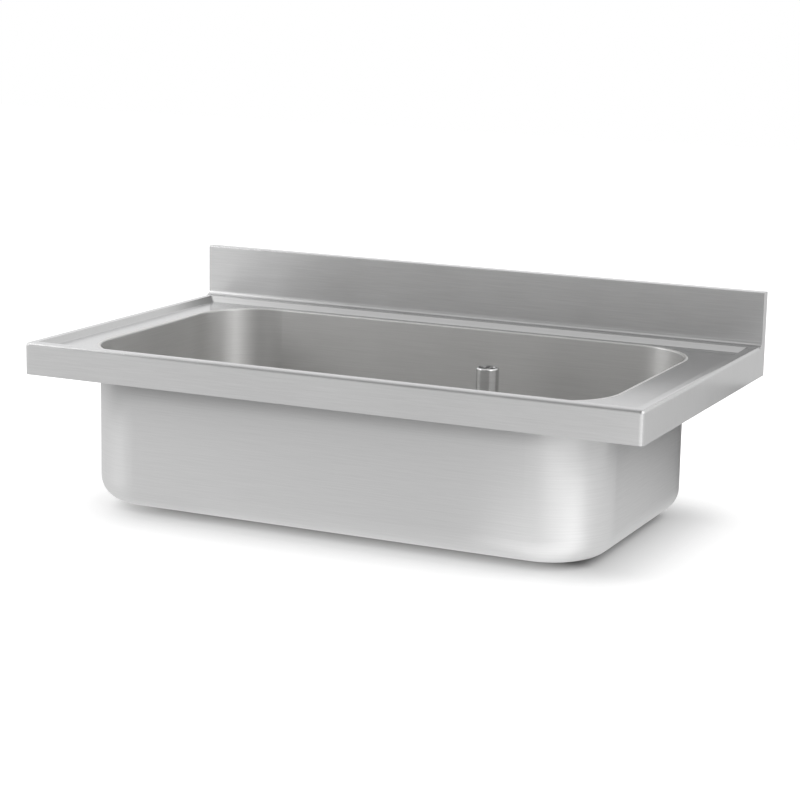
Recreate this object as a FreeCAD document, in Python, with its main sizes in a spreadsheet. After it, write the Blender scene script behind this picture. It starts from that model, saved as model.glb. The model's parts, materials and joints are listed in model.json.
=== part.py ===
import FreeCAD, Part
import os
import Sketcher
from FreeCAD import Placement, Rotation, Vector

# A commercial kitchen sink: a folded steel top with a splashback, a deep bowl welded into it,
# a waste fitting, and a standpipe that lifts out of the waste.
# Millimetres, +Z up, the front towards -Y. The origin is on the floor, under the middle of the top.

SIZES = {
    # folded top
    "top_length": 1200,
    "top_depth": 700,
    "apron_height": 60,
    "apron_return": 15,
    "return_corner_gap": 3,
    "sheet_gauge": 1.5,
    "corner_radius": 8,
    "edge_radius": 7,
    "rim_width": 18,
    "rear_rim_width": 26,
    "slope_width": 14,
    "deck_drop": 10,
    "slope_corner_radius": 6,
    "slope_edge_radius": 2,
    # splashback
    "splash_height": 102,
    "splash_depth": 22,
    "splash_bend_radius": 3,
    "cove_radius": 9,
    # bowl, its gaps from the aprons to its inner walls, its depth from the raised edge to its underside
    "bowl_depth": 302,
    "bowl_left_gap": 85,
    "bowl_right_gap": 101,
    "bowl_front_gap": 42,
    "bowl_rear_gap": 79,
    "bowl_corner_radius": 120,
    "bowl_floor_radius": 43.5,
    "bowl_gauge": 1.5,
    "lip_width": 7,
    "lip_radius": 3,
    # pads under the bowl, each between the middle of the floor and the bowl's inner walls
    "pad_height": 12,
    "pad_middle_gap_x": 250,
    "pad_middle_gap_y": 45,
    "pad_wall_gap_x": 112,
    "pad_wall_gap_y": 91,
    "pad_corner_radius": 12,
    # stiffeners under the deck and behind the aprons
    "hat_side_gap": 4.5,
    "hat_flange": 9,
    "hat_height": 28,
    "hat_end_gap": 20,
    "channel_end_gap": 150,
    "channel_width": 20,
    "channel_height": 30,
    "stiffener_gauge": 1.5,
    # brackets that take the bolts of a stand
    "bracket_gauge": 3,
    "bracket_reach": 55,
    "bracket_leg": 30,
    "bracket_width": 50,
    "bolt_side_gap": 35,
    "bolt_end_gap": 60,
    "bolt_hole_radius": 4.5,
    # waste fitting, right of the middle of the bowl and behind it
    "waste_offset_x": 152,
    "waste_offset_y": 100,
    "waste_recess_radius": 54,
    "waste_recess_depth": 4,
    "waste_recess_edge": 1.2,
    "waste_hole_radius": 30,
    "waste_bore_radius": 25,
    "waste_socket_radius": 26,
    "waste_socket_depth": 8,
    "waste_socket_wall": 2.5,
    "waste_flange_radius": 45,
    "waste_gasket_height": 2,
    "waste_floor_gap": 1,
    "washer_radius": 43,
    "washer_height": 1.5,
    "ring_nut_radius": 42,
    "ring_nut_height": 5,
    # standpipe
    "pipe_radius": 21.5,
    "pipe_wall": 1.5,
    "pipe_top_gap": 45,
    "plug_nose_height": 4,
    "plug_nose_clearance": 0.5,
    "plug_shoulder_width": 4,
    "plug_shoulder_height": 3.5,
    "plug_socket_wall": 2.5,
    "plug_socket_height": 15,
    "plug_seat_depth": 2,
    "plug_bore_radius": 18,
    "pipe_seal_height": 2,
    "collar_height": 8,
    "collar_spigot": 6,
    "collar_mouth_radius": 17.4,
    "collar_round": 3.2,
    "bar_radius": 2,
    "bar_drop": 4,
    "bar_length": 39,
}
TOLERANCE = 0.01

doc = FreeCAD.newDocument("commercial_sink")
sheet = doc.addObject("Spreadsheet::Sheet", "Sizes")
for row, (alias, size) in enumerate(SIZES.items(), 1):
    sheet.set(f"A{row}", alias)
    sheet.set(f"B{row}", str(size))
    sheet.setAlias(f"B{row}", alias)
doc.recompute()

# Levels and faces that several pieces share, as expressions over the sheet.
HALF = "(Sizes.top_length / 2)"
FRONT = "(-Sizes.top_depth / 2)"
REAR = "(Sizes.top_depth / 2)"
RIM = "(Sizes.pad_height + Sizes.bowl_depth)"
DECK = f"({RIM} - Sizes.deck_drop)"
DECK_UNDER = f"({DECK} - Sizes.sheet_gauge)"
APRON_FOOT = f"({RIM} - Sizes.apron_height)"
RETURN_TOP = f"({APRON_FOOT} + Sizes.sheet_gauge)"
SPLASH_FACE = f"({REAR} - Sizes.splash_depth)"
SPLASH_TOP = f"({RIM} + Sizes.splash_height)"
SLOPE_TOP = (f"(-{HALF} + Sizes.rim_width)", f"({HALF} - Sizes.rim_width)",
             f"({FRONT} + Sizes.rim_width)", f"({SPLASH_FACE} - Sizes.rear_rim_width)")
BOWL_LEFT = f"(-{HALF} + Sizes.bowl_left_gap)"
BOWL_RIGHT = f"({HALF} - Sizes.bowl_right_gap)"
BOWL_FRONT = f"({FRONT} + Sizes.bowl_front_gap)"
BOWL_REAR = f"({REAR} - Sizes.bowl_rear_gap)"
BOWL_MIDDLE = (f"(({BOWL_LEFT} + {BOWL_RIGHT}) / 2)", f"(({BOWL_FRONT} + {BOWL_REAR}) / 2)")
BOWL = (BOWL_LEFT, BOWL_RIGHT, BOWL_FRONT, BOWL_REAR)
FLOOR = "(Sizes.pad_height + Sizes.bowl_gauge)"
WASTE = (f"({BOWL_MIDDLE[0]} + Sizes.waste_offset_x)", f"({BOWL_MIDDLE[1]} + Sizes.waste_offset_y)")
RECESS_UNDER = "(Sizes.pad_height - Sizes.waste_recess_depth)"
RECESS_TOP = f"({RECESS_UNDER} + Sizes.bowl_gauge)"
SPIGOT_RADIUS = "(Sizes.waste_socket_radius + Sizes.waste_socket_wall)"
WASHER_UNDER = f"({RECESS_UNDER} - Sizes.washer_height)"
SHOULDER = f"({FLOOR} + Sizes.pipe_seal_height)"
NOSE_RADIUS = "(Sizes.waste_bore_radius - Sizes.plug_nose_clearance)"
SHOULDER_RADIUS = f"({NOSE_RADIUS} + Sizes.plug_shoulder_width)"
PIPE_FOOT = f"({SHOULDER} + Sizes.plug_shoulder_height - Sizes.plug_seat_depth)"
PIPE_TOP = f"({RIM} - Sizes.pipe_top_gap)"
COLLAR_FOOT = f"({PIPE_TOP} - Sizes.collar_height)"
PIPE_BORE = "(Sizes.pipe_radius - Sizes.pipe_wall)"


def number(expression):
    """The value of an expression over the sheet."""
    return float(sheet.evalExpression(expression))


def near(value, target):
    return abs(value - target) < TOLERANCE


def new_body(label, x="0", y="0"):
    """A body that stands at x, y."""
    body = doc.addObject("PartDesign::Body", label)
    body.Label = label
    body.setExpression("Placement.Base.x", x)
    body.setExpression("Placement.Base.y", y)
    return body


def new_sketch(body, role, offset="0"):
    """An empty sketch on one of the body's own planes, moved along the plane's normal."""
    sketch = body.newObject("Sketcher::SketchObject", "Sketch")
    plane = next(feature for feature in body.Origin.OriginFeatures if feature.Role == role)
    sketch.AttachmentSupport = [(plane, "")]
    sketch.MapMode = "FlatFace"
    sketch.setExpression("AttachmentOffset.Base.z", offset)
    return sketch


def pin_point(sketch, geometry, position, x, y):
    """Ties a sketch point to the expressions x and y."""
    for kind, axis, expression in (("DistanceX", -2, x), ("DistanceY", -1, y)):
        if expression == "0":
            sketch.addConstraint(Sketcher.Constraint("PointOnObject", geometry, position, axis))
            continue
        rule = Sketcher.Constraint(kind, -1, 1, geometry, position, number(expression))
        index = sketch.addConstraint(rule)
        sketch.setExpression(f"Constraints[{index}]", expression)


def add_outline(sketch, points):
    """A closed outline of straight lines through points given as expressions."""
    corners = [Vector(number(x), number(y), 0) for x, y in points]
    first = sketch.GeometryCount
    count = len(corners)
    for index, corner in enumerate(corners):
        sketch.addGeometry(Part.LineSegment(corner, corners[(index + 1) % count]))
    for index, (x, y) in enumerate(points):
        following = first + (index + 1) % count
        sketch.addConstraint(Sketcher.Constraint("Coincident", first + index, 2, following, 1))
        pin_point(sketch, first + index, 1, x, y)


def add_circle(sketch, radius, x="0", y="0"):
    centre = Vector(number(x), number(y), 0)
    circle = sketch.addGeometry(Part.Circle(centre, Vector(0, 0, 1), number(radius)))
    pin_point(sketch, circle, 3, x, y)
    index = sketch.addConstraint(Sketcher.Constraint("Radius", circle, number(radius)))
    sketch.setExpression(f"Constraints[{index}]", radius)


def rectangle(left, right, front, rear, grow="0"):
    """The corners of a rectangle whose sides are moved outwards by grow."""
    low_x, high_x = f"{left} - ({grow})", f"{right} + ({grow})"
    low_y, high_y = f"{front} - ({grow})", f"{rear} + ({grow})"
    return [(low_x, low_y), (high_x, low_y), (high_x, high_y), (low_x, high_y)]


def extrude(body, sketch, length, cut=False, back=False, both=False):
    """Pads or pockets a sketch, and checks that it changed the solid the right way."""
    doc.recompute()
    before = body.Shape.Volume if body.Tip else 0.0
    kind = "Pocket" if cut else "Pad"
    feature = body.newObject(f"PartDesign::{kind}", kind)
    feature.Profile = sketch
    feature.Reversed = back
    if both:
        feature.SideType = "Symmetric"
    feature.setExpression("Length", length)
    doc.recompute()
    change = body.Shape.Volume - before
    if (change < 0) != cut or near(change, 0):
        raise ValueError(f"{body.Label}: {kind} changed the volume by {change:.3f}")


def fillet(body, radius, wanted):
    """Rounds the edges of the body that the test picks."""
    doc.recompute()
    names = [f"Edge{index}" for index, edge in enumerate(body.Shape.Edges, 1) if wanted(edge)]
    if not names:
        raise ValueError(f"{body.Label}: no edge to round with {radius}")
    base = body.Tip
    feature = body.newObject("PartDesign::Fillet", "Fillet")
    feature.Base = (base, names)
    feature.setExpression("Radius", radius)
    doc.recompute()


def is_upright(edge):
    box = edge.BoundBox
    return box.XLength < TOLERANCE and box.YLength < TOLERANCE


def is_level(edge, height):
    return near(edge.BoundBox.ZMin, height) and near(edge.BoundBox.ZMax, height)


def is_ring(edge, radius, height):
    curve = edge.Curve
    return isinstance(curve, Part.Circle) and near(curve.Radius, radius) and is_level(edge, height)


def runs_along_x(edge, y, z):
    """A straight edge along X at the given y and z."""
    box = edge.BoundBox
    return is_level(edge, z) and near(box.YMin, y) and near(box.YMax, y)


def lies_within(edge, left, right, front, rear):
    box = edge.BoundBox
    return (box.XMin > left - TOLERANCE and box.XMax < right + TOLERANCE
            and box.YMin > front - TOLERANCE and box.YMax < rear + TOLERANCE)


def inside(corners):
    """A test for edges that lie within a rectangle of expressions."""
    left, front = (number(value) for value in corners[0])
    right, rear = (number(value) for value in corners[2])
    return lambda edge: lies_within(edge, left, right, front, rear)


def upright_at(corners):
    """A test for upright edges at the corners of a rectangle of expressions."""
    places = [(number(x), number(y)) for x, y in corners]

    def test(edge):
        spot = edge.CenterOfMass
        return is_upright(edge) and any(near(spot.x, x) and near(spot.y, y) for x, y in places)
    return test


def turned(label, points):
    """A turned piece on the axis of the waste; points are radius and height."""
    body = new_body(label, *WASTE)
    sketch = new_sketch(body, "XZ_Plane")
    add_outline(sketch, points)
    feature = body.newObject("PartDesign::Revolution", "Revolution")
    feature.Profile = sketch
    feature.ReferenceAxis = (sketch, ["V_Axis"])
    feature.Angle = 360
    doc.recompute()
    return body


def ring_points(inner, outer, low, high):
    """The section of a plain ring, as radius and height."""
    return [(inner, low), (outer, low), (outer, high), (inner, high)]


def make_pan():
    """The top without its splashback: raised edge, sunk deck, aprons and their returns."""
    pan = new_body("worktop_pan")
    sketch = new_sketch(pan, "XY_Plane", RIM)
    add_outline(sketch, rectangle(f"-{HALF}", HALF, FRONT, REAR))
    extrude(pan, sketch, "Sizes.apron_height", back=True)
    rim = number(RIM)
    fillet(pan, "Sizes.corner_radius", lambda edge: is_upright(edge) and edge.CenterOfMass.y < 0)
    fillet(pan, "Sizes.edge_radius",
           lambda edge: is_level(edge, rim) and edge.BoundBox.YMin < number(REAR) - TOLERANCE)

    # The sunk deck has sloping sides.
    top_corners = rectangle(*SLOPE_TOP)
    upper = new_sketch(pan, "XY_Plane", RIM)
    add_outline(upper, top_corners)
    lower = new_sketch(pan, "XY_Plane", DECK)
    add_outline(lower, rectangle(*SLOPE_TOP, grow="-Sizes.slope_width"))
    sunk = pan.newObject("PartDesign::SubtractiveLoft", "Sunk_deck")
    sunk.Profile = upper
    sunk.Sections = [lower]
    sunk.Ruled = True
    doc.recompute()

    # All of this is one sheet, open below.
    foot = number(APRON_FOOT)
    solid = pan.Tip
    bottom = [f"Face{index}" for index, face in enumerate(solid.Shape.Faces, 1)
              if near(face.BoundBox.ZMin, foot) and near(face.BoundBox.ZMax, foot)]
    skin = pan.newObject("PartDesign::Thickness", "Skin")
    skin.Base = (solid, bottom)
    skin.Reversed = True
    skin.Join = "Intersection"
    skin.setExpression("Value", "Sizes.sheet_gauge")
    doc.recompute()

    # The slopes have rounded corners and softened edges.
    deck = number(DECK)
    fillet(pan, "Sizes.slope_corner_radius",
           lambda edge: near(edge.BoundBox.ZMin, deck) and near(edge.BoundBox.ZMax, rim))
    in_deck = inside(top_corners)
    for height in (rim, deck):
        fillet(pan, "Sizes.slope_edge_radius",
               lambda edge: is_level(edge, height) and in_deck(edge))

    # The opening takes the bowl's lip.
    hole = rectangle(*BOWL, grow="Sizes.lip_width")
    sketch = new_sketch(pan, "XY_Plane", DECK)
    add_outline(sketch, hole)
    extrude(pan, sketch, "2 * Sizes.sheet_gauge", cut=True)
    fillet(pan, "Sizes.bowl_corner_radius + Sizes.lip_width", upright_at(hole))

    # The aprons turn in below, with notched corners.
    sketch = new_sketch(pan, "XY_Plane", APRON_FOOT)
    outer = "Sizes.sheet_gauge / 2"
    turn_in = "Sizes.apron_return"
    end = f"({turn_in} + Sizes.return_corner_gap)"
    span_x = (f"-{HALF} + {end}", f"{HALF} - {end}")
    span_y = (f"{FRONT} + {end}", f"{REAR} - {end}")
    add_outline(sketch, rectangle(*span_x, f"{FRONT} + {outer}", f"{FRONT} + {turn_in}"))
    add_outline(sketch, rectangle(*span_x, f"{REAR} - {turn_in}", f"{REAR} - {outer}"))
    add_outline(sketch, rectangle(f"-{HALF} + {outer}", f"-{HALF} + {turn_in}", *span_y))
    add_outline(sketch, rectangle(f"{HALF} - {turn_in}", f"{HALF} - {outer}", *span_y))
    extrude(pan, sketch, "Sizes.sheet_gauge")

    # The sheet is open under the splashback, and the side edges are square beside it.
    sketch = new_sketch(pan, "XY_Plane", RIM)
    add_outline(sketch, rectangle(f"-{HALF}", HALF, SPLASH_FACE, REAR, "-2 * Sizes.sheet_gauge"))
    extrude(pan, sketch, "2 * Sizes.sheet_gauge", cut=True)
    sketch = new_sketch(pan, "XY_Plane", RIM)
    block = "Sizes.edge_radius + Sizes.sheet_gauge"
    start = f"{SPLASH_FACE} - Sizes.cove_radius"
    add_outline(sketch, rectangle(f"-{HALF}", f"-{HALF} + {block}", start, REAR))
    add_outline(sketch, rectangle(f"{HALF} - ({block})", HALF, start, REAR))
    extrude(pan, sketch, "Sizes.edge_radius", back=True)
    return pan


def make_splashback():
    """The sheet that coves up from the raised edge, over the top and down the back."""
    splash = new_body("worktop_splashback")
    gauge = "Sizes.sheet_gauge"
    foot = f"{SPLASH_FACE} - Sizes.cove_radius - {gauge}"
    sketch = new_sketch(splash, "YZ_Plane")
    add_outline(sketch, [
        (foot, f"{RIM} - {gauge}"),
        (f"{SPLASH_FACE} + {gauge}", f"{RIM} - {gauge}"),
        (f"{SPLASH_FACE} + {gauge}", f"{SPLASH_TOP} - {gauge}"),
        (f"{REAR} - {gauge}", f"{SPLASH_TOP} - {gauge}"),
        (f"{REAR} - {gauge}", f"{RIM} - {gauge}"),
        (REAR, f"{RIM} - {gauge}"),
        (REAR, SPLASH_TOP),
        (SPLASH_FACE, SPLASH_TOP),
        (SPLASH_FACE, RIM),
        (foot, RIM),
    ])
    extrude(splash, sketch, f"Sizes.top_length - 2 * {gauge}", both=True)
    face, rim = number(SPLASH_FACE), number(RIM)
    top, inner_top = number(SPLASH_TOP), number(f"{SPLASH_TOP} - {gauge}")
    rear = number(REAR)
    fillet(splash, "Sizes.cove_radius", lambda edge: runs_along_x(edge, face, rim))
    fillet(splash, "Sizes.splash_bend_radius",
           lambda edge: runs_along_x(edge, face, top) or runs_along_x(edge, rear, top))
    fillet(splash, f"Sizes.splash_bend_radius - {gauge}",
           lambda edge: is_level(edge, inner_top) and edge.BoundBox.YLength < TOLERANCE)
    return splash


def make_worktop():
    worktop = doc.addObject("Part::Fuse", "worktop")
    worktop.Base = make_pan()
    worktop.Tool = make_splashback()
    worktop.Refine = True
    worktop.Label = "worktop"
    return worktop


def make_end_cap(side, inner_x):
    """A plate that closes one end of the splashback and follows its cove."""
    cap = new_body(f"splashback_end_cap_{side}")
    cove_start = f"{SPLASH_FACE} - Sizes.cove_radius"
    cove_end = f"{RIM} + Sizes.cove_radius"
    sketch = new_sketch(cap, "YZ_Plane", inner_x)
    add_outline(sketch, [
        (cove_start, RIM),
        (REAR, RIM),
        (REAR, SPLASH_TOP),
        (SPLASH_FACE, SPLASH_TOP),
        (SPLASH_FACE, cove_end),
        (cove_start, cove_end),
    ])
    extrude(cap, sketch, "Sizes.sheet_gauge")
    sketch = new_sketch(cap, "YZ_Plane", inner_x)
    add_circle(sketch, "Sizes.cove_radius", cove_start, cove_end)
    extrude(cap, sketch, "Sizes.sheet_gauge", cut=True, back=True)
    top = number(SPLASH_TOP)
    ends = (number(SPLASH_FACE), number(REAR))
    fillet(cap, "Sizes.splash_bend_radius",
           lambda edge: any(runs_along_x(edge, y, top) for y in ends))
    return cap


def make_bowl():
    """The bowl: one sheet with a rolled lip, rounded corners and floor, and a sunk waste seat."""
    bowl = new_body("bowl")
    gauge = "Sizes.bowl_gauge"
    inner = rectangle(*BOWL)
    outer = rectangle(*BOWL, grow=gauge)
    lip = rectangle(*BOWL, grow="Sizes.lip_width")
    sketch = new_sketch(bowl, "XY_Plane", "Sizes.pad_height")
    add_outline(sketch, outer)
    extrude(bowl, sketch, f"{DECK} - Sizes.pad_height")
    sketch = new_sketch(bowl, "XY_Plane", DECK)
    add_outline(sketch, lip)
    extrude(bowl, sketch, gauge, back=True)
    sketch = new_sketch(bowl, "XY_Plane", DECK)
    add_outline(sketch, inner)
    extrude(bowl, sketch, f"{DECK} - {FLOOR}", cut=True)

    deck, lip_under = number(DECK), number(f"{DECK} - {gauge}")
    floor, underside = number(FLOOR), number("Sizes.pad_height")
    fillet(bowl, "Sizes.bowl_corner_radius", upright_at(inner))
    fillet(bowl, "Sizes.bowl_floor_radius", lambda edge: is_level(edge, floor))
    fillet(bowl, f"Sizes.bowl_corner_radius + {gauge}", upright_at(outer))
    fillet(bowl, f"Sizes.bowl_floor_radius + {gauge}", lambda edge: is_level(edge, underside))
    fillet(bowl, "Sizes.bowl_corner_radius + Sizes.lip_width", upright_at(lip))
    at_wall = inside(outer)
    fillet(bowl, f"Sizes.lip_radius - {gauge}",
           lambda edge: is_level(edge, lip_under) and at_wall(edge))
    at_mouth = inside(inner)
    fillet(bowl, "Sizes.lip_radius", lambda edge: is_level(edge, deck) and at_mouth(edge))

    # The seat is pressed down round the waste, which goes through the floor.
    sketch = new_sketch(bowl, "XY_Plane", "Sizes.pad_height")
    add_circle(sketch, f"Sizes.waste_recess_radius + {gauge}", *WASTE)
    extrude(bowl, sketch, "Sizes.waste_recess_depth", back=True)
    sketch = new_sketch(bowl, "XY_Plane", FLOOR)
    add_circle(sketch, "Sizes.waste_recess_radius", *WASTE)
    extrude(bowl, sketch, "Sizes.waste_recess_depth", cut=True)
    seat_radius = number("Sizes.waste_recess_radius")
    fillet(bowl, "Sizes.waste_recess_edge", lambda edge: is_ring(edge, seat_radius, floor))
    sketch = new_sketch(bowl, "XY_Plane", RECESS_TOP)
    add_circle(sketch, "Sizes.waste_hole_radius", *WASTE)
    extrude(bowl, sketch, gauge, cut=True)
    return bowl


def make_hat(side, sign, bowl_wall):
    """A hat-section stiffener under one side deck, its flanges against the sheet."""
    hat = new_body(f"{side}_stiffener")
    deck_outer = f"({HALF} - Sizes.rim_width - Sizes.slope_width)"
    deck_inner = f"({sign} * {bowl_wall} + Sizes.lip_width)"
    centre = f"{sign} * ({deck_outer} + {deck_inner}) / 2"
    gauge = "Sizes.stiffener_gauge"
    edge = f"(({deck_outer} - {deck_inner}) / 2 - Sizes.hat_side_gap)"
    wall = f"({edge} - Sizes.hat_flange)"
    bottom = f"{DECK_UNDER} - Sizes.hat_height"
    half = [
        (f"({wall} - {gauge})", f"{bottom} + {gauge}"),
        (f"({wall} - {gauge})", DECK_UNDER),
        (edge, DECK_UNDER),
        (edge, f"{DECK_UNDER} - {gauge}"),
        (wall, f"{DECK_UNDER} - {gauge}"),
        (wall, bottom),
    ]
    right = [(f"{centre} + {x}", z) for x, z in half]
    left = [(f"{centre} - {x}", z) for x, z in reversed(half)]
    front = f"({SLOPE_TOP[2]} + Sizes.slope_width + Sizes.hat_end_gap)"
    rear = f"({SLOPE_TOP[3]} - Sizes.slope_width - Sizes.hat_end_gap)"
    sketch = new_sketch(hat, "XZ_Plane", f"-({front} + {rear}) / 2")
    add_outline(sketch, right + left)
    extrude(hat, sketch, f"{rear} - {front}", both=True)
    return hat


def make_channel(side, wall, inward):
    """A channel behind an apron, standing on the apron's return."""
    channel = new_body(f"{side}_stiffener")
    gauge = "Sizes.stiffener_gauge"
    face = f"({wall} + {inward} * Sizes.sheet_gauge)"
    back = f"({face} + {inward} * Sizes.channel_width)"
    back_inner = f"({back} - {inward} * {gauge})"
    top = f"({RETURN_TOP} + Sizes.channel_height)"
    sketch = new_sketch(channel, "YZ_Plane")
    add_outline(sketch, [
        (face, RETURN_TOP),
        (back, RETURN_TOP),
        (back, top),
        (face, top),
        (face, f"{top} - {gauge}"),
        (back_inner, f"{top} - {gauge}"),
        (back_inner, f"{RETURN_TOP} + {gauge}"),
        (face, f"{RETURN_TOP} + {gauge}"),
    ])
    extrude(channel, sketch, "Sizes.top_length - 2 * Sizes.channel_end_gap", both=True)
    return channel


def make_bracket(end, side, sign_y, sign_x):
    """An angle bracket in one corner, against the side apron and on its return."""
    bracket = new_body(f"frame_bracket_{end}_{side}")
    gauge = "Sizes.bracket_gauge"
    face = f"{sign_x} * ({HALF} - Sizes.sheet_gauge)"
    tip = f"{sign_x} * ({HALF} - Sizes.sheet_gauge - Sizes.bracket_reach)"
    leg_inner = f"{sign_x} * ({HALF} - Sizes.sheet_gauge - {gauge})"
    plate_top = f"{RETURN_TOP} + {gauge}"
    leg_top = f"{RETURN_TOP} + Sizes.bracket_leg"
    bolt_x = f"{sign_x} * ({HALF} - Sizes.bolt_side_gap)"
    bolt_y = f"{sign_y} * ({REAR} - Sizes.bolt_end_gap)"
    sketch = new_sketch(bracket, "XZ_Plane", f"-({bolt_y})")
    add_outline(sketch, [
        (face, RETURN_TOP),
        (tip, RETURN_TOP),
        (tip, plate_top),
        (leg_inner, plate_top),
        (leg_inner, leg_top),
        (face, leg_top),
    ])
    extrude(bracket, sketch, "Sizes.bracket_width", both=True)
    sketch = new_sketch(bracket, "XY_Plane", plate_top)
    add_circle(sketch, "Sizes.bolt_hole_radius", bolt_x, bolt_y)
    extrude(bracket, sketch, gauge, cut=True)
    return bracket


def make_pad(end, side, sign_y, sign_x):
    """A sound-deadening pad under the flat of the bowl's floor."""
    inner_x = "Sizes.pad_middle_gap_x"
    inner_y = "Sizes.pad_middle_gap_y"
    outer_x = f"({BOWL_RIGHT} - {BOWL_MIDDLE[0]} - Sizes.pad_wall_gap_x)"
    outer_y = f"({BOWL_REAR} - {BOWL_MIDDLE[1]} - Sizes.pad_wall_gap_y)"
    half_x = f"(({outer_x} - {inner_x}) / 2)"
    half_y = f"(({outer_y} - {inner_y}) / 2)"
    pad = new_body(f"support_pad_{end}_{side}",
                   f"{BOWL_MIDDLE[0]} + {sign_x} * ({outer_x} + {inner_x}) / 2",
                   f"{BOWL_MIDDLE[1]} + {sign_y} * ({outer_y} + {inner_y}) / 2")
    sketch = new_sketch(pad, "XY_Plane")
    add_outline(sketch, rectangle(f"-{half_x}", half_x, f"-{half_y}", half_y))
    extrude(pad, sketch, "Sizes.pad_height")
    fillet(pad, "Sizes.pad_corner_radius", is_upright)
    return pad


def make_waste():
    """The waste: flange with a spigot that takes the drain pipe, gasket, washer and ring nut."""
    flange_under = f"({RECESS_TOP} + Sizes.waste_gasket_height)"
    socket_top = "Sizes.waste_floor_gap + Sizes.waste_socket_depth"
    flange = turned("waste_flange", [
        ("Sizes.waste_bore_radius", socket_top),
        ("Sizes.waste_socket_radius", socket_top),
        ("Sizes.waste_socket_radius", "Sizes.waste_floor_gap"),
        (SPIGOT_RADIUS, "Sizes.waste_floor_gap"),
        (SPIGOT_RADIUS, flange_under),
        ("Sizes.waste_flange_radius", flange_under),
        ("Sizes.waste_flange_radius", FLOOR),
        ("Sizes.waste_bore_radius", FLOOR),
    ])
    gasket = turned("waste_gasket", ring_points(
        "Sizes.waste_hole_radius", "Sizes.waste_flange_radius", RECESS_TOP, flange_under))
    washer = turned("waste_washer", ring_points(
        "Sizes.waste_hole_radius", "Sizes.washer_radius", WASHER_UNDER, RECESS_UNDER))

    blank = doc.addObject("Part::Prism", "ring_nut_blank")
    blank.Polygon = 6
    blank.setExpression("Circumradius", "Sizes.ring_nut_radius")
    blank.setExpression("Height", "Sizes.ring_nut_height")
    thread = doc.addObject("Part::Cylinder", "ring_nut_thread")
    thread.setExpression("Radius", SPIGOT_RADIUS)
    thread.setExpression("Height", "Sizes.ring_nut_height")
    for solid in (blank, thread):
        solid.setExpression("Placement.Base.x", WASTE[0])
        solid.setExpression("Placement.Base.y", WASTE[1])
        solid.setExpression("Placement.Base.z", f"{WASHER_UNDER} - Sizes.ring_nut_height")
    nut = doc.addObject("Part::Cut", "waste_ring_nut")
    nut.Base = blank
    nut.Tool = thread
    nut.Label = "waste_ring_nut"
    return [flange, gasket, washer, nut]


def make_standpipe():
    """The standpipe: plug and seal on the waste, tube, rounded collar and lifting bar."""
    seal = turned("standpipe_seal", ring_points(NOSE_RADIUS, SHOULDER_RADIUS, FLOOR, SHOULDER))
    nose_foot = f"{FLOOR} - Sizes.plug_nose_height"
    shoulder_top = f"{SHOULDER} + Sizes.plug_shoulder_height"
    socket_top = f"{shoulder_top} + Sizes.plug_socket_height"
    socket_radius = "Sizes.pipe_radius + Sizes.plug_socket_wall"
    plug = turned("standpipe_plug", [
        ("Sizes.plug_bore_radius", nose_foot),
        (NOSE_RADIUS, nose_foot),
        (NOSE_RADIUS, SHOULDER),
        (SHOULDER_RADIUS, SHOULDER),
        (SHOULDER_RADIUS, shoulder_top),
        (socket_radius, shoulder_top),
        (socket_radius, socket_top),
        ("Sizes.pipe_radius", socket_top),
        ("Sizes.pipe_radius", PIPE_FOOT),
        ("Sizes.plug_bore_radius", PIPE_FOOT),
    ])
    tube = turned("standpipe_tube", ring_points(
        PIPE_BORE, "Sizes.pipe_radius", PIPE_FOOT, COLLAR_FOOT))

    spigot_foot = f"{COLLAR_FOOT} - Sizes.collar_spigot"
    collar = turned("standpipe_collar", [
        ("Sizes.collar_mouth_radius", spigot_foot),
        (PIPE_BORE, spigot_foot),
        (PIPE_BORE, COLLAR_FOOT),
        ("Sizes.pipe_radius", COLLAR_FOOT),
        ("Sizes.pipe_radius", PIPE_TOP),
        ("Sizes.collar_mouth_radius", PIPE_TOP),
    ])
    pipe_top, pipe_radius = number(PIPE_TOP), number("Sizes.pipe_radius")
    fillet(collar, "Sizes.collar_round", lambda edge: is_ring(edge, pipe_radius, pipe_top))
    bar_height = f"{PIPE_TOP} - Sizes.bar_drop"
    sketch = new_sketch(collar, "XZ_Plane")
    add_circle(sketch, "Sizes.bar_radius", "0", bar_height)
    extrude(collar, sketch, "Sizes.bar_length", cut=True, both=True)

    bar = doc.addObject("Part::Cylinder", "standpipe_lifting_bar")
    bar.Label = "standpipe_lifting_bar"
    bar.setExpression("Radius", "Sizes.bar_radius")
    bar.setExpression("Height", "Sizes.bar_length")
    bar.Placement = Placement(Vector(), Rotation(Vector(1, 0, 0), 90))
    bar.setExpression("Placement.Base.x", WASTE[0])
    bar.setExpression("Placement.Base.y", f"{WASTE[1]} + Sizes.bar_length / 2")
    bar.setExpression("Placement.Base.z", bar_height)
    return [seal, plug, tube, collar, bar]


CORNERS = [(end, side, sign_y, sign_x)
           for end, sign_y in (("front", -1), ("rear", 1))
           for side, sign_x in (("left", -1), ("right", 1))]
nodes = [
    make_worktop(),
    make_end_cap("left", f"-{HALF}"),
    make_end_cap("right", f"{HALF} - Sizes.sheet_gauge"),
    make_bowl(),
    make_hat("left", -1, BOWL_LEFT),
    make_hat("right", 1, BOWL_RIGHT),
    make_channel("front", FRONT, 1),
    make_channel("rear", REAR, -1),
]
nodes += [make_bracket(*corner) for corner in CORNERS]
nodes += [make_pad(*corner) for corner in CORNERS]
nodes += make_waste()
nodes += make_standpipe()

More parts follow.
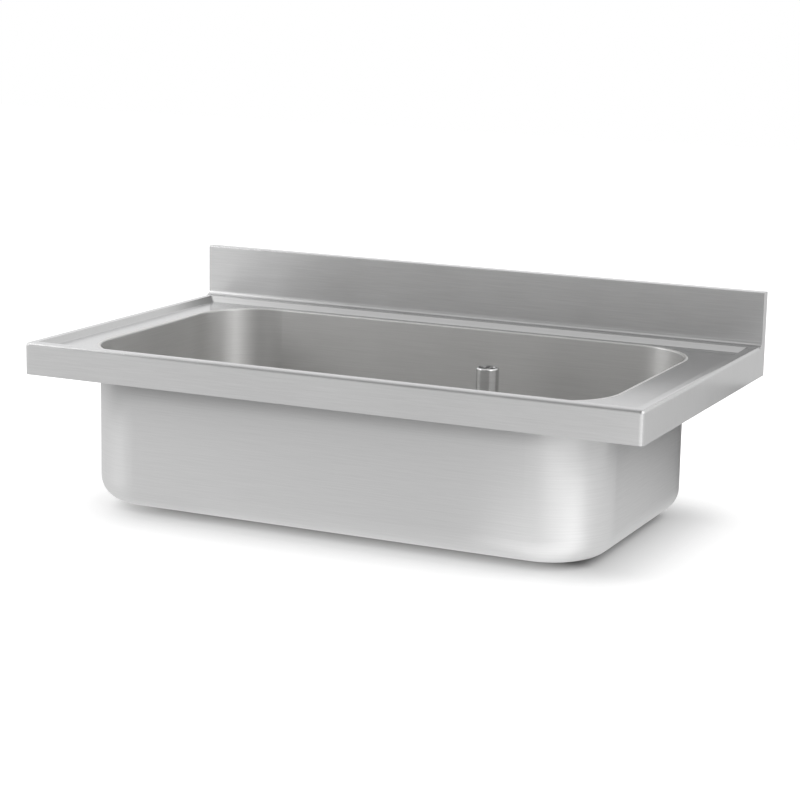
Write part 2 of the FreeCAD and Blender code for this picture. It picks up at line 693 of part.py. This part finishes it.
doc.recompute()
for item in doc.Objects:
    if "Invalid" in item.State or "Error" in item.State:
        raise RuntimeError(f"{item.Label} did not build: {item.State}")
os.makedirs("parts", exist_ok=True)
for node in nodes:
    if node.Shape.isNull() or not node.Shape.isValid():
        raise RuntimeError(f"{node.Label} has no valid shape")
for node in nodes:
    node.Shape.exportStep(f"parts/{node.Label}.step")
    print(f"{node.Label}: {len(node.Shape.Solids)} solid, {node.Shape.Volume / 1000:.1f} cm3")
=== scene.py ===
import json
import math

import bpy
from mathutils import Matrix, Vector


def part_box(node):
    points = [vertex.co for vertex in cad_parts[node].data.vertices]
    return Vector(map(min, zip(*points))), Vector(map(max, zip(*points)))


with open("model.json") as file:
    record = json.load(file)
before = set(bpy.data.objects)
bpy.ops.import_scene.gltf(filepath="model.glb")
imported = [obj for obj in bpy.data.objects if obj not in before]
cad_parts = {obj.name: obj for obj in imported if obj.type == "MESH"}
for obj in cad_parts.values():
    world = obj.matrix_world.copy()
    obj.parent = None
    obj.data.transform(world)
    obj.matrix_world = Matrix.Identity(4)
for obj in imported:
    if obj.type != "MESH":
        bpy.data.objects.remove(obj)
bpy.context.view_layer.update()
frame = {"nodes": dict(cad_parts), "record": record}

nodes = frame["nodes"]
scene = bpy.context.scene
scene.view_settings.view_transform = "Standard"
bowl_low, bowl_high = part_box("bowl")
bowl_middle = (bowl_low + bowl_high) / 2
bowl_half = (bowl_high - bowl_low) / 2
worktop_low, worktop_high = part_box("worktop")


# Node trees

# The Mix node has sockets of its own for each kind of value: two inputs and an output.
mix_sockets = {"FLOAT": (2, 3, 0), "VECTOR": (4, 5, 1), "RGBA": (6, 7, 2)}


class Graph:
    """The node tree of a material or a world, with short ways to add and join nodes."""

    def __init__(self, owner):
        owner.use_nodes = True
        self.owner = owner
        self.tree = owner.node_tree
        self.shader = self.tree.nodes.get("Principled BSDF")

    def add(self, kind, **settings):
        node = self.tree.nodes.new(kind)
        for key, value in settings.items():
            setattr(node, key, value)
        return node

    def join(self, source, target):
        """The target takes a signal, or a value that is the same everywhere."""
        if isinstance(source, bpy.types.NodeSocket):
            self.tree.links.new(source, target)
        else:
            target.default_value = source

    def give(self, node, **values):
        """Signals and values for a node's inputs, with an underscore for each space in their names."""
        for name, value in values.items():
            self.join(value, node.inputs[name.replace("_", " ")])

    def show(self, surface):
        kind = "World" if isinstance(self.owner, bpy.types.World) else "Material"
        self.give(self.tree.nodes[f"{kind} Output"], Surface=surface)

    def place(self):
        """Object coordinates, which are metres in the shared frame."""
        return self.add("ShaderNodeTexCoord").outputs["Object"]

    def normal(self):
        return self.add("ShaderNodeNewGeometry").outputs["Normal"]

    def facing(self, axis):
        """How squarely a face looks along an axis, either way: from 0 to 1."""
        parts = self.add("ShaderNodeSeparateXYZ")
        self.give(parts, Vector=self.normal())
        return self.maths("ABSOLUTE", parts.outputs[axis], 0.0)

    def noise(self, place, scale=1.0, detail=2.0, roughness=0.5):
        node = self.add("ShaderNodeTexNoise")
        self.give(node, Vector=place, Scale=scale, Detail=detail, Roughness=roughness)
        return node.outputs["Fac"]

    def ramp(self, source, stops):
        """Colours at places from 0 to 1."""
        node = self.add("ShaderNodeValToRGB")
        elements = node.color_ramp.elements
        while len(elements) < len(stops):
            elements.new(0.5)
        for element, (place, colour) in zip(elements, stops):
            element.position = place
            element.color = colour
        self.give(node, Fac=source)
        return node.outputs["Color"]

    def between(self, mask, low, high, start=0.0, end=1.0):
        """Low where the mask is at its start, and high where it is at its end."""
        node = self.add("ShaderNodeMapRange")
        self.give(node, Value=mask, From_Min=start, From_Max=end, To_Min=low, To_Max=high)
        return node.outputs["Result"]

    def maths(self, operation, first, second):
        node = self.add("ShaderNodeMath", operation=operation)
        self.join(first, node.inputs[0])
        self.join(second, node.inputs[1])
        return node.outputs["Value"]

    def vectors(self, operation, first, second=(0.0, 0.0, 0.0)):
        node = self.add("ShaderNodeVectorMath", operation=operation)
        self.join(first, node.inputs[0])
        self.join(second, node.inputs[1])
        return node.outputs["Value" if operation in ("DOT_PRODUCT", "LENGTH") else "Vector"]

    def mix(self, kind, mask, first, second, blend="MIX"):
        """The first where the mask is 0, and the second, blended in, where it is 1."""
        node = self.add("ShaderNodeMix", data_type=kind, blend_type=blend)
        first_input, second_input, output = mix_sockets[kind]
        self.give(node, Factor=mask)
        self.join(first, node.inputs[first_input])
        self.join(second, node.inputs[second_input])
        return node.outputs[output]

    def choose(self, mask, first, second):
        """The first shader where the mask is 0, and the second where it is 1."""
        node = self.add("ShaderNodeMixShader")
        self.give(node, Fac=mask)
        self.join(first, node.inputs[1])
        self.join(second, node.inputs[2])
        return node.outputs["Shader"]

    def rays(self, *kinds):
        """1 for rays of these kinds, and 0 for the rest."""
        path = self.add("ShaderNodeLightPath").outputs
        found = path[f"Is {kinds[0]} Ray"]
        for kind in kinds[1:]:
            found = self.maths("MAXIMUM", found, path[f"Is {kind} Ray"])
        return found

    def glow(self, strength):
        node = self.add("ShaderNodeEmission")
        self.give(node, Strength=strength)
        return node.outputs["Emission"]

    def bump(self, height, strength, distance):
        node = self.add("ShaderNodeBump")
        self.give(node, Height=height, Strength=strength, Distance=distance)
        return node.outputs["Normal"]


def grey(tone):
    return (tone, tone, tone, 1.0)


# Materials

# Noise mostly stays between these two values.
noise_low, noise_high = 0.3, 0.7

# Scales of noise, per metre: along and across the grain, and for patches and fine grain
sheet_along = 14.0
wall_along = 10.0
across = 450.0
steel_patches = 5.0
steel_speckle = 500.0
plastic_patches = 25.0
plastic_grain = 900.0

# Streaks and patches make one pattern, which steel's colour and roughness follow.
streak_share = 0.7
patch_share = 0.3
steel_unevenness = (0.92, 1.08)
streak_depth = 0.0002

# Plastic is darker and lighter in patches, and smoother and rougher in its grain.
plastic_shades = (0.85, 1.15)
plastic_unevenness = (0.9, 1.1)
plastic_relief = 0.3
grain_depth = 0.0003

# How squarely a face has to look along an axis
level_from, level_to = 0.85, 0.97
sideways_from = 0.75
outward_from = 0.001

# Nearly upright, so that level faces have a direction across the grain too
leaning_axis = (0.02, 0.05, 1.0)


def steel(name, tone, contrast, rough, anisotropy, relief, streaks_of, spread_of, part_of=None, painted_shading_tint=None):
    """Brushed steel: streaks along the grain, cloudy patches, and gloss spread across the grain.

    Where a mask tells one part of the piece from the rest, rough is a pair, and that part's colour is
    multiplied by a tint that paints light or shade into it.
    """
    graph = Graph(bpy.data.materials.new(name))
    place = graph.place()
    streaks = streaks_of(graph, place)
    patches = graph.noise(place, steel_patches)
    pattern = graph.maths("ADD", graph.maths("MULTIPLY", streaks, streak_share),
                          graph.maths("MULTIPLY", patches, patch_share))
    dark, light = grey(tone * (1 - contrast)), grey(tone * (1 + contrast))
    colour = graph.ramp(pattern, [(noise_low, dark), (noise_high, light)])
    uneven = graph.between(pattern, *steel_unevenness, noise_low, noise_high)
    if part_of:
        mask = part_of(graph)
        rough = graph.between(mask, *rough)
        # The tint paints light or shade into the masked part's colour: a painted highlight or painted shade.
        colour = graph.mix("RGBA", mask, colour, (*painted_shading_tint, 1.0), "MULTIPLY")
    graph.give(graph.shader, Base_Color=colour, Roughness=graph.maths("MULTIPLY", uneven, rough))
    graph.give(graph.shader, Metallic=1.0, Anisotropic=anisotropy, Tangent=spread_of(graph))
    graph.give(graph.shader, Normal=graph.bump(streaks, relief, streak_depth))
    return graph.owner


def solid_plastic(name, colour, rough):
    """Moulded plastic, rubber or fibre: fine grain and slight unevenness."""
    graph = Graph(bpy.data.materials.new(name))
    place = graph.place()
    grain = graph.noise(place, plastic_grain)
    patches = graph.noise(place, plastic_patches)
    dark, light = [(*(Vector(colour) * shade), 1.0) for shade in plastic_shades]
    smooth, coarse = [rough * share for share in plastic_unevenness]
    graph.give(graph.shader, Base_Color=graph.ramp(patches, [(noise_low, dark), (noise_high, light)]))
    graph.give(graph.shader, Roughness=graph.between(grain, smooth, coarse, noise_low, noise_high))
    graph.give(graph.shader, Normal=graph.bump(grain, plastic_relief, grain_depth))
    return graph.owner


def faces_up(graph):
    """1 on level faces and 0 on upright ones: on the worktop, where the colour is lightened as painted light
    and the gloss is smoother.
    """
    return graph.between(graph.facing("Z"), 0.0, 1.0, level_from, level_to)


def faces_sideways(graph):
    """1 on the side aprons and end caps, and 0 elsewhere."""
    return graph.maths("GREATER_THAN", graph.facing("X"), sideways_from)


def faces_inward(graph):
    """0 on the outside of the bowl's walls, and 1 on its inside and on its level faces, where the colour is
    darkened as painted shade and the gloss is smoother.
    """
    offset = graph.vectors("SUBTRACT", graph.place(), bowl_middle)
    outward = graph.vectors("MULTIPLY", offset, (1.0, 1.0, 0.0))
    return graph.maths("LESS_THAN", graph.vectors("DOT_PRODUCT", outward, graph.normal()), outward_from)


def drawn_out(graph, place, scales):
    """Noise that is drawn out along the grain, by its scales along X, Y and Z."""
    mapping = graph.add("ShaderNodeMapping")
    graph.give(mapping, Vector=place, Scale=scales)
    return graph.noise(mapping.outputs["Vector"], detail=3.0, roughness=0.65)


def sheet_streaks(graph, place):
    """The grain of the top runs along X, and so down the aprons that are folded from its ends."""
    along = drawn_out(graph, place, (sheet_along, across, across))
    down = drawn_out(graph, place, (across, across, sheet_along))
    return graph.mix("FLOAT", faces_sideways(graph), along, down)


def sheet_spread(graph):
    """The direction across the grain of the top and its aprons."""
    grain = graph.mix("VECTOR", faces_sideways(graph), (1.0, 0.0, 0.0), (0.0, 0.0, 1.0))
    return graph.vectors("CROSS_PRODUCT", graph.normal(), grain)


def level_streaks(graph, place):
    """Polishing lines that run level round a wall."""
    return drawn_out(graph, place, (wall_along, wall_along, across))


def level_spread(graph):
    """The direction across level polishing lines, which is up the walls."""
    normal = graph.normal()
    grain = graph.vectors("CROSS_PRODUCT", leaning_axis, normal)
    return graph.vectors("CROSS_PRODUCT", normal, grain)


def fine_speckle(graph, place):
    return graph.noise(place, steel_speckle)


steels = {
    # worktop_steel: its level faces are tinted lighter, which paints light on the deck and rim tops.
    "worktop_steel": dict(tone=0.57, contrast=0.07, rough=(0.32, 0.15), anisotropy=0.85, relief=0.06,
                          streaks_of=sheet_streaks, spread_of=sheet_spread,
                          part_of=faces_up, painted_shading_tint=(1.07, 1.07, 1.08)),
    # bowl_steel: its inside and level faces are tinted darker, which paints shade into the bowl.
    "bowl_steel": dict(tone=0.72, contrast=0.06, rough=(0.57, 0.46), anisotropy=0.75, relief=0.04,
                       streaks_of=level_streaks, spread_of=level_spread,
                       part_of=faces_inward, painted_shading_tint=(0.874, 0.87, 0.86)),
    "frame_steel": dict(tone=0.56, contrast=0.05, rough=0.40, anisotropy=0.3, relief=0.10,
                        streaks_of=fine_speckle, spread_of=level_spread),
    "waste_steel": dict(tone=0.60, contrast=0.04, rough=0.24, anisotropy=0.3, relief=0.05,
                        streaks_of=fine_speckle, spread_of=level_spread),
    "pipe_steel": dict(tone=0.66, contrast=0.05, rough=0.24, anisotropy=0.8, relief=0.05,
                       streaks_of=level_streaks, spread_of=level_spread),
}
plastics = {
    "waste_nut": dict(colour=(0.62, 0.62, 0.60), rough=0.5),
    "washer_fibre": dict(colour=(0.30, 0.15, 0.09), rough=0.7),
    "plug_plastic": dict(colour=(0.05, 0.05, 0.055), rough=0.45),
    "seal_rubber": dict(colour=(0.03, 0.03, 0.03), rough=0.6),
    "pad_rubber": dict(colour=(0.07, 0.07, 0.075), rough=0.65),
}
materials = {name: steel(name, **looks) for name, looks in steels.items()}
materials.update({name: solid_plastic(name, **looks) for name, looks in plastics.items()})
for subpart in frame["record"]["subparts"]:
    piece = nodes[subpart["node"]]
    piece.data.materials.clear()
    piece.data.materials.append(materials[subpart["material_slot"]])


# Flat pieces for the floor and the cards

def level(points, height):
    """Corners of a level sheet."""
    return [(x, y, height) for x, y in points]


def upright(start, end, low, high):
    """Corners of an upright sheet between two places on the floor."""
    return [(*start, low), (*end, low), (*end, high), (*start, high)]


def sloping(left, right, front, rear):
    """Corners of a sloping sheet. Its front and rear edges are given by Y and height."""
    return [(left, *front), (right, *front), (right, *rear), (left, *rear)]


def add_flat(name, corners):
    mesh = bpy.data.meshes.new(name)
    mesh.from_pydata(corners, [], [(0, 1, 2, 3)])
    flat = bpy.data.objects.new(name, mesh)
    scene.collection.objects.link(flat)
    return flat


# World and floor

world_fill = 0.4
world_white = 1.0
floor_half = 8.0
floor_tone = 0.62

# The deepest shade, which is partly painted, is smaller than the bowl by the inset on each side, and is
# painted a little to its right.
shade_inset = 0.11
shade_shift = 0.055

# How far the floor's glow lifts it to white for the camera, by the distance from the deepest shade in metres.
# Less glow near the bowl paints the shadow there.
floor_lift = [(0.0, 0.0), (0.02, 0.04), (0.05, 0.13), (0.08, 0.22),
              (0.14, 0.44), (0.22, 0.63), (0.4, 0.82), (1.0, 1.0)]

# The steel mirrors the floor as pale from this distance on, and as dark nearer the bowl: a painted shadow in
# the reflection, since to glossy rays the floor only glows.
floor_mirrored = 0.93
mirrored_from = 0.04


def make_world():
    """Light that fills the shadows. The camera and the steel see white instead."""
    world = bpy.data.worlds.new("studio")
    scene.world = world
    graph = Graph(world)
    fill = graph.tree.nodes["Background"]
    white = graph.add("ShaderNodeBackground")
    graph.give(fill, Color=grey(1.0), Strength=world_fill)
    graph.give(white, Color=grey(1.0), Strength=world_white)
    seen = graph.rays("Camera", "Glossy", "Transmission")
    graph.show(graph.choose(seen, fill.outputs["Background"], white.outputs["Background"]))


def floor_gap(graph):
    """How far a place on the floor is from the deepest shade under the bowl, in metres."""
    shade_middle = (bowl_middle.x + shade_shift, bowl_middle.y, 0.0)
    shade_half = (bowl_half.x - shade_inset, bowl_half.y - shade_inset, 0.0)
    offset = graph.vectors("ABSOLUTE", graph.vectors("SUBTRACT", graph.place(), shade_middle))
    beyond = graph.vectors("SUBTRACT", offset, shade_half)
    return graph.vectors("LENGTH", graph.vectors("MAXIMUM", beyond))


def make_floor():
    """A white floor with a soft shadow round the bowl's foot, partly cast by the lamps and partly painted by
    a glow that fades out towards the bowl.
    """
    near, far = -floor_half, floor_half
    floor = add_flat("floor", level([(near, near), (far, near), (far, far), (near, far)], 0.0))
    graph = Graph(bpy.data.materials.new("floor_white"))
    graph.tree.nodes.remove(graph.shader)
    matt = graph.add("ShaderNodeBsdfDiffuse")
    graph.give(matt, Color=grey(floor_tone))
    gap = floor_gap(graph)
    # Painted shadow: the floor's glow fades out towards the bowl, a little off to its right.
    painted_shadow_fade = graph.ramp(gap, [(place, grey(lift)) for place, lift in floor_lift])
    lifted = graph.add("ShaderNodeAddShader")
    graph.join(matt.outputs["BSDF"], lifted.inputs[0])
    graph.join(graph.glow(graph.maths("MULTIPLY", graph.rays("Camera"), painted_shadow_fade)), lifted.inputs[1])
    mirrored = graph.glow(graph.between(gap, 0.0, floor_mirrored, end=mirrored_from))
    graph.show(graph.choose(graph.rays("Glossy", "Transmission"), lifted.outputs["Shader"], mirrored))
    floor.data.materials.append(graph.owner)


# Lamps, which light the floor and the plastics

lamp_target = Vector((0.0, 0.0, 0.2))
lamp_distance = 2.8

# The turn is to the right of the front and the height above the floor, both in degrees.
lamps = {
    "right_front": dict(turn=53, height=35, width=2.6, length=2.0, power=25.0),
    "right_side": dict(turn=94, height=37, width=1.6, length=1.8, power=13.0),
    "right_rear": dict(turn=122, height=40, width=1.2, length=1.6, power=9.0),
    "left_front": dict(turn=-66, height=37, width=2.2, length=1.8, power=17.0),
    "left_side": dict(turn=-112, height=37, width=1.9, length=1.8, power=14.0),
}


def direction(turn, height):
    """A direction by its angle to the right of the front and its angle above the floor, in degrees."""
    turn, height = math.radians(turn), math.radians(height)
    return Vector((math.sin(turn) * math.cos(height), -math.cos(turn) * math.cos(height), math.sin(height)))


def add_lamp(name, turn, height, width, length, power):
    """A soft lamp that the steel doesn't mirror."""
    data = bpy.data.lights.new(name, "AREA")
    data.shape = "RECTANGLE"
    data.size = width
    data.size_y = length
    data.energy = power
    lamp = bpy.data.objects.new(name, data)
    lamp.location = lamp_distance * direction(turn, height)
    lamp.rotation_mode = "QUATERNION"
    lamp.rotation_quaternion = (lamp_target - lamp.location).to_track_quat("-Z", "Y")
    lamp.visible_glossy = False
    scene.collection.objects.link(lamp)


# Cards, which only the steel sees, in its mirrored light: glowing and dark sheets that are no lamps and paint
# reflections, highlights and shade on the steel

# Corners and tone. The world is white to the steel, so a tone under 1 is dark and one above 1 is bright.
cards = {
    # Grey over the front: painted shade in the splashback's reflection
    "card_front_high": (sloping(-2.1, 0.3, (-3.0, 1.3), (-1.0, 2.4)), 0.33),
    "card_front_right": (sloping(0.3, 1.2, (-3.0, 0.8), (-1.0, 2.4)), 0.24),
    # Dark behind the bowl: painted shade on the rear end of its right side
    "card_bowl_side": (upright((0.5, 0.5), (0.74, 0.5), 0.0, 0.2), 0.03),
    # Bright on the floor: a painted highlight on the outer corner of the bowl
    "card_foot": (level([(0.26, -0.36), (0.3, -0.6), (0.6, -0.5), (0.56, -0.26)], 0.002), 1.6),
    "card_corner": (level([(0.42, -0.5), (0.55, -1.4), (1.9, -1.1), (0.62, -0.25)], 0.001), 1.75),
    # Bright on both sides, with a brighter strip nearer to the object: painted highlights on the steel
    "card_right": (upright((1.75, -1.75), (2.35, 0.85), 0.75, 3.2), 1.3),
    "card_left": (upright((-2.1, -1.4), (-2.1, 1.4), 0.75, 3.2), 1.25),
    "strip_right": (upright((1.7, -1.06), (1.94, -0.48), 0.75, 2.6), 3.5),
    "strip_left": (upright((-1.7, -1.23), (-1.97, -0.72), 0.75, 2.6), 3.3),
}

# Dark flags, which only the steel sees, hang from the foot of the aprons, just inside their outer faces: they
# paint the shade on the bowl there.
# Those on the sides stop well behind the front, so that the bowl's front corners stay bright.
flag_tone = 0.2
flag_top = worktop_low.z
flag_drop = 0.022
side_flag_drop = 0.055
flag_reach = 0.995
side_flag_reach = 0.45
left, front = worktop_low.xy * flag_reach
right, rear = worktop_high.xy * flag_reach
side_front = front * side_flag_reach
flags = {
    "flag_front": ((left, front), (right, front), flag_drop),
    "flag_right": ((right, side_front), (right, rear), side_flag_drop),
    "flag_rear": ((right, rear), (left, rear), flag_drop),
    "flag_left": ((left, rear), (left, side_front), side_flag_drop),
}
for name, (start, end, drop) in flags.items():
    cards[name] = (upright(start, end, flag_top, flag_top - drop), flag_tone)


# A card glows or darkens only in the steel's reflections, as painted light: it is no lamp, casts no shadow,
# and the camera doesn't see it.
def add_card(name, corners, tone):
    card = add_flat(name, corners)
    card.visible_camera = False
    card.visible_diffuse = False
    card.visible_shadow = False
    graph = Graph(bpy.data.materials.new(name))
    graph.give(graph.shader, Base_Color=grey(0.0), Roughness=1.0, Specular_IOR_Level=0.0)
    graph.give(graph.shader, Emission_Color=grey(1.0), Emission_Strength=tone)
    card.data.materials.append(graph.owner)


# Camera, fitted to the straight edges of the top in the photo

camera_place = Vector((1.7086, -3.6699, 1.0415))
camera_yaw = 24.944
camera_pitch = 11.665
camera_roll = 1.123
camera_lens = 99.04
camera_sensor = 36.0
camera_reach = 100.0


def make_camera():
    ahead = -direction(camera_yaw, camera_pitch)
    level_right = ahead.cross(Vector((0.0, 0.0, 1.0))).normalized()
    above = level_right.cross(ahead)
    roll = math.radians(camera_roll)
    image_right = level_right * math.cos(roll) + above * math.sin(roll)
    image_up = above * math.cos(roll) - level_right * math.sin(roll)
    data = bpy.data.cameras.new("camera")
    data.sensor_width = camera_sensor
    data.lens = camera_lens
    data.clip_end = camera_reach
    camera = bpy.data.objects.new("camera", data)
    turn = Matrix((image_right, image_up, -ahead)).transposed().to_4x4()
    camera.matrix_world = Matrix.Translation(camera_place) @ turn
    scene.collection.objects.link(camera)
    scene.camera = camera


make_world()
make_floor()
for name, settings in lamps.items():
    add_lamp(name, **settings)
for name, (corners, tone) in cards.items():
    add_card(name, corners, tone)
make_camera()
